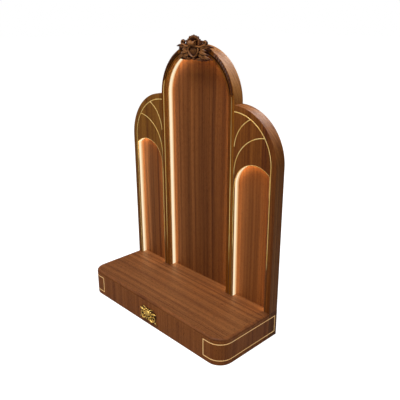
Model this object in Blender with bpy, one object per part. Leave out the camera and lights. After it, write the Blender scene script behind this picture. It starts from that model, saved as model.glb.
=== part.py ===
# Household altar: a low shelf block that carries a tall back panel with three arched, lit niches,
# gold inlays, a carved crest with husk garlands, and a gilt ornament on the front of the base.
# Units are metres, +Z is up and the front faces -Y. The origin is on the floor, mid footprint.
import math

import bmesh
import bpy
import numpy as np

# Whole object
width = 0.600
base_depth = 0.236
base_height = 0.082
ornament_rise = 0.0078
gap = 0.0003
half = width / 2
front_y = ornament_rise - (base_depth + ornament_rise) / 2
back_y = front_y + base_depth

# Base block
corner_radius = 0.044
edge_round = 0.007
corner_steps = 10
round_steps = 3

# Back panel: 36 mm in all, 18 mm boards on the wings, a deeper niche in the middle
panel_thickness = 0.036
panel_y = back_y - panel_thickness
foot_z = base_height + gap
arris = 0.0008
wing_niche_depth = 0.018
centre_niche_depth = 0.028
arch_steps = 32

# Middle bay, with arches about one centre
bay_half = 0.150
bay_spring = 0.658
niche_half = 0.130
facing_depth = 0.0102
rebate = 0.0018

# Wings
shoulder_radius = 0.150
shoulder_z = 0.508
wing_inner = bay_half + gap / 2
side_niche_inner = 0.155
side_niche_outer = 0.281
side_arch_x = 0.229
side_arch_z = 0.433
side_arch_radius = side_arch_x - side_niche_inner

# Light bands in the reveals
band_thickness = 0.0015
band_setback = 0.0008

# Gold inlays
line_width = 0.0028
line_depth = 0.0012
line_proud = 0.0002
groove_depth = line_depth + gap
outer_line_inset = 0.0176
outer_line_radius = shoulder_radius - outer_line_inset
shoulder_x = half - shoulder_radius
upper_arc_x = 0.2526
upper_arc_z = 0.537
upper_arc_radius = 0.100
lower_arc_x = 0.2671
lower_arc_z = 0.471
lower_arc_radius = 0.1135
bay_line_radius = 0.1405
bay_line_top = math.radians(13)

# Gold bands on the base's front corners
band_low = 0.0148
band_high = 0.0654
band_front_x = 0.2355
band_rear_y = front_y + 0.227

# Carved work
crest_z = 0.800
garland_radius = 0.1448
garland_start = math.radians(60)
garland_end = math.radians(14)
garland_husks = 13
garland_width = 0.0040
garland_rise = 0.0036
ornament_z = 0.034


# Finish: colour, roughness, metallic value and glow
finishes = {
    "frame walnut": ((0.104, 0.036, 0.014), 0.42, 0.0, 0.0),
    "niche walnut": ((0.147, 0.050, 0.019), 0.45, 0.0, 0.0),
    "base walnut": ((0.195, 0.070, 0.024), 0.40, 0.0, 0.0),
    "carved walnut": ((0.080, 0.026, 0.010), 0.38, 0.0, 0.0),
    "brass inlay": ((0.72, 0.47, 0.16), 0.22, 1.0, 0.0),
    "gilding": ((0.66, 0.42, 0.10), 0.30, 1.0, 0.0),
    "opal light": ((1.0, 0.88, 0.66), 0.50, 0.0, 3.0),
}


def clear_scene():
    for old in list(bpy.data.objects):
        bpy.data.objects.remove(old, do_unlink=True)


def paint(piece, finish):
    colour, roughness, metallic, glow = finishes[finish]
    material = bpy.data.materials.new(piece.name + " " + finish)
    material.use_nodes = True
    shader = material.node_tree.nodes["Principled BSDF"]
    shader.inputs["Base Color"].default_value = (*colour, 1.0)
    shader.inputs["Roughness"].default_value = roughness
    shader.inputs["Metallic"].default_value = metallic
    shader.inputs["Emission Color"].default_value = (*colour, 1.0)
    shader.inputs["Emission Strength"].default_value = glow
    material.diffuse_color = (*colour, 1.0)
    piece.data.materials.append(material)


def add_piece(name, shape, finish=None, location=(0, 0, 0)):
    """A bmesh as an object under the altar's empty, its faces outwards and its curves shaded smooth."""
    bmesh.ops.recalc_face_normals(shape, faces=shape.faces)
    mesh = bpy.data.meshes.new(name)
    shape.to_mesh(mesh)
    shape.free()
    mesh.shade_smooth()
    mesh.set_sharp_from_angle(angle=math.radians(30))
    piece = bpy.data.objects.new(name, mesh)
    bpy.context.scene.collection.objects.link(piece)
    piece.location = location
    piece.parent = bpy.data.objects["altar"]
    if finish:
        paint(piece, finish)
    return piece


def add_mesh(name, points, faces, finish=None, location=(0, 0, 0)):
    """A closed body from points and faces. Points that coincide become one."""
    shape = bmesh.new()
    corners = [shape.verts.new(tuple(float(value) for value in point)) for point in points]
    for face in faces:
        shape.faces.new([corners[index] for index in face])
    bmesh.ops.remove_doubles(shape, verts=shape.verts, dist=1e-6)
    return add_piece(name, shape, finish, location)


def hide_as_cutter(piece):
    piece.hide_render = True
    piece.display_type = "WIRE"
    return piece


def cut_away(piece, cutter):
    cut = piece.modifiers.new("cut " + cutter.name, "BOOLEAN")
    cut.operation = "DIFFERENCE"
    cut.solver = "EXACT"
    cut.object = hide_as_cutter(cutter)


# Outlines are arrays of (x, z), and runs along the base are arrays of (x, y).


def arc(x, z, radius, start, end, steps):
    """Points on a circle from one angle to another, in radians from +X towards +Z."""
    angle = np.linspace(start, end, steps + 1)
    return np.stack([x + radius * np.cos(angle), z + radius * np.sin(angle)], axis=1)


def offset(path, distance, closed=False):
    """The path moved to its left by a distance, with mitred corners."""
    ahead = np.roll(path, -1, axis=0) - path
    if not closed:
        ahead[-1] = ahead[-2]
    ahead /= np.linalg.norm(ahead, axis=1)[:, None]
    behind = np.roll(ahead, 1, axis=0)
    if not closed:
        behind[0] = ahead[0]
    left_ahead = np.stack([-ahead[:, 1], ahead[:, 0]], axis=1)
    left_behind = np.stack([-behind[:, 1], behind[:, 0]], axis=1)
    share = 1.0 + (left_ahead * left_behind).sum(axis=1)
    return path + distance * (left_ahead + left_behind) / share[:, None]


def mirrored(outline):
    """The same outline on the other side of the middle, still running anticlockwise."""
    return (outline * (-1.0, 1.0))[::-1]


def loft(rings, closed_around=True):
    """Faces between rings of equal length, with the first and last ring as end faces."""
    count = len(rings[0])
    points = np.concatenate(rings)
    faces = [list(range(count)), list(range(len(points) - count, len(points)))]
    for row in range(len(rings) - 1):
        for column in range(count if closed_around else count - 1):
            after = (column + 1) % count
            low, high = row * count, (row + 1) * count
            faces.append([low + column, low + after, high + after, high + column])
    return points, faces


def board(name, outline, front, back, finish):
    """A flat board: its outline extruded backwards, with the front and back arrises taken off."""
    shape = bmesh.new()
    face = shape.faces.new([shape.verts.new((x, front, z)) for x, z in outline])
    swept = bmesh.ops.extrude_face_region(shape, geom=[face])["geom"]
    moved = [part for part in swept if isinstance(part, bmesh.types.BMVert)]
    bmesh.ops.translate(shape, verts=moved, vec=(0, back - front, 0))
    rims = [edge for edge in shape.edges if edge.verts[0].co.y == edge.verts[1].co.y]
    bmesh.ops.bevel(shape, geom=rims, offset=arris, segments=1, affect="EDGES", offset_type="OFFSET")
    return add_piece(name, shape, finish)


def moulding(name, path, profile, finish=None):
    """A profile of (offset to the left, depth) points carried along a path of (x, z) points."""
    sides = []
    for distance, depth in profile:
        run = offset(path, distance)
        sides.append(np.stack([run[:, 0], np.full(len(run), depth), run[:, 1]], axis=1))
    rings = [np.array([side[station] for side in sides]) for station in range(len(path))]
    return add_mesh(name, *loft(rings), finish)


def inlay(name, path):
    """A gold strip let into the panel's front, and the cutter of its groove."""
    side = line_width / 2
    back = panel_y + line_depth
    front = panel_y - line_proud
    profile = [(side, front), (side, back), (-side, back), (-side, front)]
    strip = moulding(name, path, profile, "brass inlay")
    side += gap
    back = panel_y + groove_depth
    front = panel_y - groove_depth
    first, last = path[0] - path[1], path[-1] - path[-2]
    before = path[0] + first / np.linalg.norm(first) * 2 * gap
    after = path[-1] + last / np.linalg.norm(last) * 4 * gap
    run = np.concatenate([[before], path, [after]])
    profile = [(side, front), (side, back), (-side, back), (-side, front)]
    return strip, moulding("groove_" + name, run, profile)


def arch_path(radius, spring, foot, first=math.pi, steps=arch_steps):
    """Up the left side, over a half round and down the right side, or from an angle of the arch on."""
    crown = arc(0, spring, radius, first, 0, steps)
    low_left = [[-radius, foot]] if first == math.pi else []
    return np.array(low_left + crown.tolist() + [[radius, foot]])


# Base


def base_run(inset, rounded):
    """The base's outline seen from above, from the left rear corner round the front to the right rear."""
    radius = corner_radius
    left = arc(-half + radius, front_y + radius, radius, math.pi, 1.5 * math.pi, corner_steps)
    right = arc(half - radius, front_y + radius, radius, -0.5 * math.pi, 0, corner_steps)
    run = np.concatenate([[[-half, panel_y]], left, right, [[half, panel_y]]])
    run = offset(run, inset)
    run[0, 1] = run[-1, 1] = panel_y
    plain = np.array([[half, panel_y], [half, back_y], [-half, back_y], [-half, panel_y]])
    return np.concatenate([run, plain]) if rounded else run


def corner_band(name, side, widen, outer, inner, finish=None):
    """A flat ring wrapped round one front corner, between an outer and an inner distance out."""
    radius = corner_radius
    corner = arc(half - radius, front_y + radius, radius, -0.5 * math.pi, 0, corner_steps)
    half_line = line_width / 2
    start = band_front_x - half_line - widen
    end = band_rear_y + half_line + widen
    line = line_width + 2 * widen
    run = [[start, front_y], [start + line, front_y], *corner.tolist(), [half, end - line], [half, end]]
    run = np.array(run)
    levels = np.array([band_low - half_line - widen, band_low + half_line + widen])
    levels = np.concatenate([levels, [band_high - half_line - widen, band_high + half_line + widen]])
    columns, rows = len(run), len(levels)
    points = []
    for distance in (-outer, -inner):
        for x, y in offset(run, distance):
            points += [(side * x, y, level) for level in levels]
    shift = columns * rows
    faces = []
    filled = np.ones((columns - 1, rows - 1), bool)
    filled[1:-1, 1] = False
    for i in range(columns - 1):
        for j in range(rows - 1):
            if not filled[i, j]:
                continue
            a, b, c, d = i * rows + j, (i + 1) * rows + j, (i + 1) * rows + j + 1, i * rows + j + 1
            faces += [[a, b, c, d], [a + shift, b + shift, c + shift, d + shift]]
            sides = ((-1, 0, a, d), (1, 0, b, c), (0, -1, a, b), (0, 1, d, c))
            for step_i, step_j, p, q in sides:
                ni, nj = i + step_i, j + step_j
                inside = 0 <= ni < columns - 1 and 0 <= nj < rows - 1
                if not (inside and filled[ni, nj]):
                    faces.append([p, q, q + shift, p + shift])
    return add_mesh(name, points, faces, finish)


def make_base():
    rings = []
    levels = [(0.0, 0.0), (0.0, base_height - edge_round)]
    for step in range(1, round_steps + 1):
        turn = 0.5 * math.pi * step / round_steps
        levels.append((edge_round * (1 - math.cos(turn)), base_height - edge_round * (1 - math.sin(turn))))
    for inset, level in levels:
        run = base_run(inset, rounded=True)
        rings.append(np.column_stack([run, np.full(len(run), level)]))
    plain_rows = 4
    for ring, (inset, level) in zip(rings, levels):
        if level > base_height - edge_round:
            ring[-plain_rows:, 2] = level
    base = add_mesh("base", *loft(rings), "base walnut")
    for side, label in ((-1, "left"), (1, "right")):
        corner_band(label + "_base_band", side, 0.0, 0.0, -line_depth, "brass inlay")
        cut_away(base, corner_band(label + "_base_groove", side, gap, groove_depth, -groove_depth))


# Wings


def wing_outline(niche):
    """The right wing, anticlockwise from its inner foot, with or without the niche cut out of it."""
    last = math.acos((wing_inner - shoulder_x) / shoulder_radius)
    crown = arc(shoulder_x, shoulder_z, shoulder_radius, 0, last, arch_steps // 2)
    outline = [[half, foot_z], *crown.tolist(), [wing_inner, foot_z]]
    if niche:
        turn = math.acos((side_niche_outer - side_arch_x) / side_arch_radius)
        arch = arc(side_arch_x, side_arch_z, side_arch_radius, math.pi, turn, arch_steps - 8)
        outline += [[side_niche_inner, foot_z], *arch.tolist(), [side_niche_outer, foot_z]]
    return np.array(outline)


def niche_path():
    outline = wing_outline(niche=True).tolist()
    start = outline.index([side_niche_inner, foot_z])
    return np.array(outline[start:])


def outer_crossing(x, z, radius):
    """The angle on a circle where it meets the outer gold line, on the upper side."""
    dx, dz = shoulder_x - x, shoulder_z - z
    apart = math.hypot(dx, dz)
    cosine = (apart**2 + radius**2 - outer_line_radius**2) / (2 * apart * radius)
    facing = math.atan2(dz, dx)
    angles = [(facing + sign * math.acos(cosine)) % (2 * math.pi) for sign in (-1, 1)]
    return min(angles, key=lambda angle: abs(angle - 0.5 * math.pi))


def line_paths():
    """The three gold lines of the right wing, as (x, z) runs that all end at the foot or by the joint."""
    radius = outer_line_radius
    first = math.acos((wing_inner + 3 * gap - shoulder_x) / radius)
    shoulder = arc(shoulder_x, shoulder_z, radius, first, 0, arch_steps // 2)
    outer = np.array([*shoulder.tolist(), [shoulder_x + radius, foot_z + gap]])
    turn = outer_crossing(upper_arc_x, upper_arc_z, upper_arc_radius)
    upper = arc(upper_arc_x, upper_arc_z, upper_arc_radius, turn, math.pi, arch_steps // 2)
    turn = outer_crossing(lower_arc_x, lower_arc_z, lower_arc_radius)
    lower = arc(lower_arc_x, lower_arc_z, lower_arc_radius, turn, math.pi, arch_steps // 2)
    foot = [[lower_arc_x - lower_arc_radius, foot_z + gap]]
    return {"outer_line": outer, "upper_arc": upper, "lower_arc": np.concatenate([lower, foot])}


def make_wing(side, label):
    turned = (lambda outline: outline) if side > 0 else mirrored
    niche_y = panel_y + wing_niche_depth
    plain, cut_out = (turned(wing_outline(niche)) for niche in (False, True))
    board(label + "_wing_back", plain, niche_y + gap / 2, back_y, "niche walnut")
    frame = board(label + "_wing_frame", cut_out, panel_y, niche_y - gap / 2, "frame walnut")
    inward = -1 if side > 0 else 1
    strips = {}
    for name, path in line_paths().items():
        strip, groove = inlay(label + "_" + name, path * (side, 1.0))
        strips[name] = strip
        cut_away(frame, groove)
        if name == "outer_line":
            outer_groove = groove
    cut_away(strips["upper_arc"], outer_groove)
    cut_away(strips["lower_arc"], outer_groove)
    near, far = inward * gap, inward * (gap + band_thickness)
    front, back = panel_y + band_setback, niche_y - gap / 2
    profile = [(near, front), (near, back), (far, back), (far, front)]
    moulding(label + "_light", niche_path() * (side, 1.0), profile, "opal light")


# Middle bay


def make_bay():
    niche_y = panel_y + centre_niche_depth
    outline = arch_path(bay_half - gap / 2, bay_spring, foot_z)[::-1]
    board("centre_back", outline, niche_y + gap / 2, back_y, "niche walnut")
    back = niche_y - gap / 2
    step = panel_y + facing_depth
    outer = bay_half - gap / 2 - niche_half
    profile = [(arris, panel_y), (0, panel_y + arris), (0, step), (rebate, step), (rebate, back)]
    profile += [(outer - arris, back), (outer, back - arris)]
    profile += [(outer, panel_y + arris), (outer - arris, panel_y)]
    path = arch_path(niche_half, bay_spring, foot_z)
    frame = moulding("centre_frame", path, profile, "frame walnut")
    near, far, front = rebate - gap, rebate - gap - band_thickness, step + gap
    moulding("centre_light", path, [(near, front), (near, back), (far, back), (far, front)], "opal light")
    for side, label in ((-1, "left"), (1, "right")):
        curve = arc(0, bay_spring, bay_line_radius, bay_line_top, 0, 4)
        path = np.concatenate([curve, [[bay_line_radius, foot_z + gap]]]) * (side, 1.0)
        groove = inlay(label + "_bay_line", path)[1]
        cut_away(frame, groove)


# Carved work. Forms are in (across, up, out) from the ornament's middle, and grow out of its flat back.


def smooth_run(points, steps):
    """A smooth curve through a few points, by Catmull and Rom's formula."""
    points = np.array(points, float)
    padded = np.concatenate([[2 * points[0] - points[1]], points, [2 * points[-1] - points[-2]]])
    place = np.linspace(0, len(points) - 1, steps)
    index = np.minimum(place.astype(int), len(points) - 2)
    t = (place - index)[:, None]
    a, b, c, d = (padded[index + shift] for shift in range(4))
    square, cube = 2 * a - 5 * b + 4 * c - d, 3 * b - a - 3 * c + d
    return 0.5 * (2 * b + (c - a) * t + square * t**2 + cube * t**3)


def stem(points, half_width, rise, steps=12, sides=8, taper=(0.25, 0.15)):
    """An oval bar along a curve, fullest a third of the way along and thinner towards its ends."""
    run = smooth_run(points, steps)
    ahead = np.gradient(run, axis=0)
    across = np.stack([-ahead[:, 1], ahead[:, 0], np.zeros(steps)], axis=1)
    across /= np.linalg.norm(across, axis=1)[:, None]
    share = np.linspace(0, 1, steps)
    swell = np.sin(math.pi * share**0.8)
    swell = swell + taper[0] * (1 - share) ** 2 + taper[1] * share**2
    angle = np.linspace(0, 2 * math.pi, sides, endpoint=False)
    rings = []
    for centre, side, size in zip(run, across, swell):
        ring = centre + size * half_width * np.cos(angle)[:, None] * side
        ring[:, 2] += size * rise * np.sin(angle)
        rings.append(ring)
    return loft(rings)


def ball(centre, radii, turn=0.0, around=12, rows=7, fullness=1.0):
    """An oval boss, boxier with a fullness under one. It can be turned in the plane of the ornament."""
    rings = []
    angle = np.linspace(0, 2 * math.pi, around, endpoint=False)
    for row in range(1, rows):
        lift = math.pi * row / rows
        size = math.sin(lift) ** fullness
        across = radii[0] * size * np.cos(angle)
        up = radii[1] * size * np.sin(angle)
        out = -radii[2] * math.copysign(abs(math.cos(lift)) ** fullness, math.cos(lift))
        x = across * math.cos(turn) - up * math.sin(turn)
        y = across * math.sin(turn) + up * math.cos(turn)
        rings.append(np.stack([x, y, np.full(around, out)], axis=1) + centre)
    return loft(rings)


def ring(centre, radii, tube, around=20, sides=7):
    """An oval ring of round section."""
    points, faces = [], []
    for i in range(around):
        a = 2 * math.pi * i / around
        for j in range(sides):
            b = 2 * math.pi * j / sides
            reach = tube * math.cos(b)
            across = (radii[0] + reach) * math.cos(a)
            up = (radii[1] + reach) * math.sin(a)
            points.append((centre[0] + across, centre[1] + up, centre[2] + tube * math.sin(b)))
            c, d = (i + 1) % around, (j + 1) % sides
            faces.append([i * sides + j, c * sides + j, c * sides + d, i * sides + d])
    return np.array(points), faces


def volute(centre, start_radius, end_radius, start, turns, out):
    """Points that curl inwards round a centre."""
    share = np.linspace(0, 1, 9)
    angle = start + 2 * math.pi * turns * share
    radius = start_radius + (end_radius - start_radius) * share
    across = centre[0] + radius * np.cos(angle)
    up = centre[1] + radius * np.sin(angle)
    return [(x, y, out) for x, y in zip(across.tolist(), up.tolist())]


def both_sides(make, points, **sizes):
    """A form and its mirror image across the middle."""
    other = [(-x, y, z) for x, y, z in points]
    return [make(points, **sizes), make(other, **sizes)]


def carve(name, forms, location, voxel, keep, finish):
    """Fuses the forms into one carved body, thins its faces out and cuts it flat behind."""
    points, faces, shift = [], [], 0
    for form_points, form_faces in forms:
        points.append(np.array(form_points) * 0.001)
        faces += [[index + shift for index in face] for face in form_faces]
        shift += len(form_points)
    points = np.concatenate(points)
    placed = np.stack([points[:, 0], -points[:, 2], points[:, 1]], axis=1)
    piece = add_mesh(name, placed, faces, finish, location)
    fuse = piece.modifiers.new("fuse", "REMESH")
    fuse.mode = "VOXEL"
    fuse.voxel_size = voxel
    thin = piece.modifiers.new("thin", "DECIMATE")
    thin.ratio = keep
    behind = bmesh.new()
    bmesh.ops.create_cube(behind, size=0.2)
    bmesh.ops.translate(behind, verts=behind.verts, vec=(0, 0.1, 0))
    cut_away(piece, add_piece("behind_" + name, behind, location=location))
    return piece


def crest_forms():
    """Millimetres from the crest's middle: a shell over an oval cartouche, with scrolls and leaves."""
    forms = [ball((0, -9, 0), (54, 24, 3), around=24, fullness=0.7)]
    forms += [ball((0, 13, 0), (22, 17, 3.5), around=20, fullness=0.5)]
    forms += [ring((0, -6, 6), (18, 14.5), 3.2, around=24), ball((0, -6, 2), (16, 12.5, 7), around=18)]
    forms += [ring((0, 13, 5.5), (10.5, 8.5), 3.0, around=18)]
    lobes = 7
    for lobe in range(lobes):
        turn = math.radians(20 + 140 * lobe / (lobes - 1))
        reach = (19 * math.cos(turn), 13 + 15 * math.sin(turn), 4)
        forms.append(ball(reach, (8.8, 5.2, 5.2), turn=turn, around=12, rows=7, fullness=0.8))
    scroll = [(13, 6, 5), (22, 3, 5), (33, 4, 4.5)]
    scroll += volute((43, 15.5), 7.5, 3.2, math.radians(-105), 1.1, 4)
    forms += both_sides(stem, scroll, half_width=2.8, rise=4.6, steps=22, taper=(0.9, 0.7))
    leaves = [
        ([(26, 0, 2), (44, 5, 4), (58, 8, 3.5), (75, 5, 1)], 5.5, 4),
        ([(15, -4, 4), (30, -6, 5.5), (45, -12, 5), (59, -20, 2)], 4.6, 4),
        ([(12, -19, 4), (26, -22, 5), (40, -25, 4.5), (54, -29, 1.5)], 4.2, 3.8),
        ([(6, -27, 3.5), (20, -31, 4), (36, -32, 3.5), (50, -34, 1)], 3.6, 3.4),
        ([(17, 4, 3), (24, 11, 4), (32, 14, 4), (37, 23, 1.5)], 4.4, 4),
        ([(36, -3, 2), (48, -3, 3.5), (57, -6, 3), (64, -9, 1)], 4.2, 3),
        ([(32, -13, 2), (42, -18, 3.5), (50, -22, 3), (58, -26, 1)], 4.2, 3),
    ]
    for points, half_width, rise in leaves:
        forms += both_sides(stem, points, half_width=half_width, rise=rise)
    forms += [ball((0, -29, 3), (6, 4.5, 4), around=12)]
    return forms


def ornament_forms():
    """Millimetres from the gilt ornament's middle: a boss in a ring, open scrolls and leaf tips."""
    forms = [ball((0, 0, 1), (8.5, 7, 7), around=14), ring((0, 0, 3), (11.5, 9.5), 2.2, around=18)]
    for up in (1, -1):
        forms += [ball((0, 14.5 * up, 2), (4.0, 6.0, 4), around=10)]
        side_tip = [(2, 12 * up, 2), (7, 16 * up, 3), (12, 20 * up, 1)]
        forms += both_sides(stem, side_tip, half_width=2.8, rise=3)
    lower = [(9, -6, 3), (15, -14, 3), (23, -17, 3)]
    lower += volute((24, -8), 8.5, 4.5, math.radians(-60), 0.8, 3)
    upper = [(9, 6, 3), (14, 13, 3), (21, 16, 3)]
    upper += volute((22, 8), 7.0, 3.5, math.radians(60), -0.8, 3)
    for scroll in (lower, upper):
        forms += both_sides(stem, scroll, half_width=2.1, rise=3, steps=18, taper=(0.8, 0.6))
    tips = [
        ([(12, 0, 2), (22, 0, 4), (30, 1, 3), (38, -1, 1)], 3.0),
        ([(26, -15, 2), (32, -16, 3), (37, -18, 2), (42, -21, 1)], 3.2),
        ([(24, 14, 2), (29, 16, 3), (33, 16, 2), (37, 13, 1)], 3.0),
        ([(17, -14, 2), (20, -18, 3), (25, -21, 2), (30, -22, 1)], 2.8),
        ([(16, 13, 2), (18, 17, 3), (22, 21, 2), (27, 22, 1)], 2.8),
    ]
    for points, half_width in tips:
        forms += both_sides(stem, points, half_width=half_width, rise=3.2, steps=9)
    return forms


def make_garland(side, label):
    """Overlapping husks along the middle arch, smaller towards the foot of the run."""
    stations = garland_husks * 3 + 1
    share = np.linspace(0, 1, stations)
    angle = garland_start + (garland_end - garland_start) * share
    size = 1.0 - 0.4 * share
    flare = np.resize([0.55, 1.0, 0.9], stations)
    flare[0] = flare[-1] = 0.35
    profile = [(-1.0, 0.0), (-0.75, 0.62), (0.0, 1.0), (0.75, 0.62), (1.0, 0.0)]
    rings = []
    for turn, big, wide in zip(angle, size, flare):
        ring_points = []
        for across, out in profile:
            radius = garland_radius + across * garland_width * big * wide
            depth = panel_y - gap - out * garland_rise * big * (0.45 + 0.55 * wide)
            level = bay_spring + radius * math.sin(turn)
            ring_points.append((side * radius * math.cos(turn), depth, level))
        rings.append(np.array(ring_points))
    return add_mesh(label + "_garland", *loft(rings), "carved walnut")


def make_carvings():
    carve("crest", crest_forms(), (0, panel_y - gap, crest_z), 0.0012, 0.055, "carved walnut")
    carve("base_ornament", ornament_forms(), (0, front_y - gap, ornament_z), 0.0009, 0.045, "gilding")
    make_garland(-1, "left")
    make_garland(1, "right")


def flatten_shading():
    """Keeps the wide faces of each cut piece looking flat up to the cuts."""
    for piece in bpy.context.scene.objects:
        if piece.type == "MESH" and piece.modifiers and not piece.hide_render:
            weight = piece.modifiers.new("flat faces", "WEIGHTED_NORMAL")
            weight.keep_sharp = True


def main():
    clear_scene()
    bpy.context.scene.collection.objects.link(bpy.data.objects.new("altar", None))
    make_base()
    make_bay()
    make_wing(-1, "left")
    make_wing(1, "right")
    make_carvings()
    flatten_shading()


main()
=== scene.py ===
# Household altar in walnut veneer: a low shelf block carries a tall back panel with three arched, lit
# niches, brass inlays, a carved crest with husk garlands, and a gilt ornament on the base's front.
# Shapes are worked out in millimetres, in the CAD model's frame, and become metres in newMesh.
import math

import bmesh
import bpy
import numpy as np
from mathutils import Matrix, Vector


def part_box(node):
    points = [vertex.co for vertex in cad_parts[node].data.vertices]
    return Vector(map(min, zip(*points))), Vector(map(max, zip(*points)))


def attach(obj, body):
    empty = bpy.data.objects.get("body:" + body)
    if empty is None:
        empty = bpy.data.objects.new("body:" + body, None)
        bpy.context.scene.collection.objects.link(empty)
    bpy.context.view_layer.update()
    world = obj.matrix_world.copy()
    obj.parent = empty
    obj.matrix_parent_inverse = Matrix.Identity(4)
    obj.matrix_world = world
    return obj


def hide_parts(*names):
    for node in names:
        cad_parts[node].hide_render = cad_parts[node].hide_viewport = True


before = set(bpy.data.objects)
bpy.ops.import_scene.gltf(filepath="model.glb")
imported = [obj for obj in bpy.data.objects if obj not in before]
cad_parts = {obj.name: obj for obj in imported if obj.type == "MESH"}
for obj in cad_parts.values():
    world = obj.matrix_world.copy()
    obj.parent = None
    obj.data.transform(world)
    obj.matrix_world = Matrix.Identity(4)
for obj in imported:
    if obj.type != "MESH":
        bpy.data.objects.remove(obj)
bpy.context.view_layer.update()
print("stage: frame loaded,", len(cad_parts), "solids")

mm = 0.001


def boxOf(node):
    # a CAD node's lowest and highest corner in millimetres, to a hundredth
    return [[round(value / mm, 2) for value in corner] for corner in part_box(node)]


(_, baseFront, _), (baseHalf, panelBack, baseTop) = boxOf("base")
(_, panelFront, _), (bayHalf, _, _) = boxOf("centre_frame")
(wingInner, _, _), (wingOuter, _, _) = boxOf("right_wing_frame")

panel = {"front": panelFront, "back": panelBack, "foot": baseTop + 0.05, "arris": 0.7}
line = {"width": 2.4, "depth": 1.2, "proud": 0.2, "ease": 0.25, "gap": 0.12, "lift": 0.6}  # brass inlays


# Shapes


def arcPoints(x, z, radius, start, end, steps):
    # (x, z) points on a circle between two angles in degrees, from +x towards +z
    angle = np.radians(np.linspace(start, end, steps + 1))
    return np.column_stack([x + radius * np.cos(angle), z + radius * np.sin(angle)])


def roundTurn(steps):
    # the angles of so many even steps round a circle
    return np.linspace(0, 2 * math.pi, steps, endpoint=False)


def offsetPath(path, distance, closed=False):
    # each point moves to the left of the run along the bisector of its corner, by the distance over the
    # cosine of half the turn
    ahead = np.roll(path, -1, axis=0) - path
    if not closed:
        ahead[-1] = ahead[-2]
    ahead = ahead / np.linalg.norm(ahead, axis=1)[:, None]
    behind = np.roll(ahead, 1, axis=0)
    if not closed:
        behind[0] = ahead[0]
    left = np.column_stack([-ahead[:, 1] - behind[:, 1], ahead[:, 0] + behind[:, 0]])
    return path + distance * left / (1.0 + (ahead * behind).sum(axis=1))[:, None]


def gridFaces(rows, columns, closedRows=False, closedColumns=False):
    # quads between neighbours of a rows x columns grid of points, numbered row by row
    row = np.arange(rows if closedRows else rows - 1)[:, None]
    column = np.arange(columns if closedColumns else columns - 1)[None, :]
    below, beside = (row + 1) % rows, (column + 1) % columns
    corners = [row * columns + column, row * columns + beside,
               below * columns + beside, below * columns + column]
    return np.stack(corners, axis=-1).reshape(-1, 4).tolist()


def capped(grid):
    # a grid of rings, closed around, with its first and last ring as end faces
    rings, count = grid.shape[:2]
    points = grid.reshape(-1, 3)
    ends = [list(range(count)), list(range(len(points) - count, len(points)))]
    return points, gridFaces(rings, count, closedColumns=True) + ends


def copies(path, pairs, closed):
    # an (x, z) path once for each pair of (distance to its left, y), as points
    runs = [(offsetPath(path, distance, closed), y) for distance, y in pairs]
    return np.array([np.column_stack([run[:, 0], np.full(len(run), y), run[:, 1]]) for run, y in runs])


def slab(outline, levels):
    # a closed (x, z) outline carried through levels of (inset, y)
    return capped(copies(outline, levels, True))


def sweep(path, profile):
    # a closed profile of (distance to the left, y) carried along an (x, z) path
    return capped(copies(path, profile, False).transpose(1, 0, 2))


def mirrorX(path):
    # the same run on the other side of the middle, in the opposite order, so that left stays left
    return (path * (-1.0, 1.0))[::-1]


def rework(mesh, change):
    # a change to the mesh as a bmesh, after which its faces are turned outwards
    solid = bmesh.new()
    solid.from_mesh(mesh)
    change(solid)
    bmesh.ops.recalc_face_normals(solid, faces=solid.faces)
    solid.to_mesh(mesh)
    solid.free()
    return mesh


def newMesh(name, points, faces):
    # a mesh in metres from points in millimetres, with its doubles merged
    mesh = bpy.data.meshes.new(name)
    mesh.from_pydata((np.asarray(points) * mm).tolist(), [], faces)
    return rework(mesh, lambda solid: bmesh.ops.remove_doubles(solid, verts=solid.verts, dist=1e-7))


def newObject(name, mesh):
    # also takes the data of a lamp or a camera
    piece = bpy.data.objects.new(name, mesh)
    bpy.context.scene.collection.objects.link(piece)
    return piece


def finishedMesh(piece):
    # the mesh as its modifiers leave it, as plain data
    mesh = bpy.data.meshes.new_from_object(piece.evaluated_get(bpy.context.evaluated_depsgraph_get()))
    mesh.name = piece.name
    piece.modifiers.clear()
    piece.data = mesh
    return mesh


def cutAway(piece, cutters):
    # takes the cutters' bodies out of the piece, one after the other
    for number, (points, faces) in enumerate(cutters):
        cutter = newObject(f"cutter{number}", newMesh("cutter", points, faces))
        cut = piece.modifiers.new("cut", "BOOLEAN")
        cut.operation, cut.solver, cut.object = "DIFFERENCE", "EXACT", cutter
        finishedMesh(piece)
        bpy.data.objects.remove(cutter, do_unlink=True)


def finishPiece(piece, node, materials, sharp):
    # its materials, smooth faces with edges kept where they turn by more than sharp degrees, and what it is
    piece.data.materials.clear()
    for material in materials:
        piece.data.materials.append(material)
    piece.data.shade_smooth()
    piece.data.set_sharp_from_angle(angle=math.radians(sharp))
    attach(piece, "root")
    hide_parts(node)


def makePiece(name, points, faces, node, slot, materials, cutters=(), sharp=25.0):
    # one finished piece of the altar, which stands for a CAD node
    piece = newObject(name, newMesh(name, points, faces))
    cutAway(piece, cutters)
    finishPiece(piece, node, materials, sharp)
    return piece


def allOf(items, key, width=1, kind=float):
    # one property of all of a mesh's points, corners or faces, as an array
    values = np.empty(len(items) * width, kind)
    items.foreach_get(key, values)
    return values.reshape(-1, width) if width > 1 else values


def cornerData(mesh):
    # for each face corner: its point in millimetres, its face's normal, and the number of its face
    point = allOf(mesh.vertices, "co", 3)[allOf(mesh.loops, "vertex_index", kind=int)] / mm
    face = np.repeat(np.arange(len(mesh.polygons)), allOf(mesh.polygons, "loop_total", kind=int))
    return point, allOf(mesh.polygons, "normal", 3)[face], face


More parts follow.
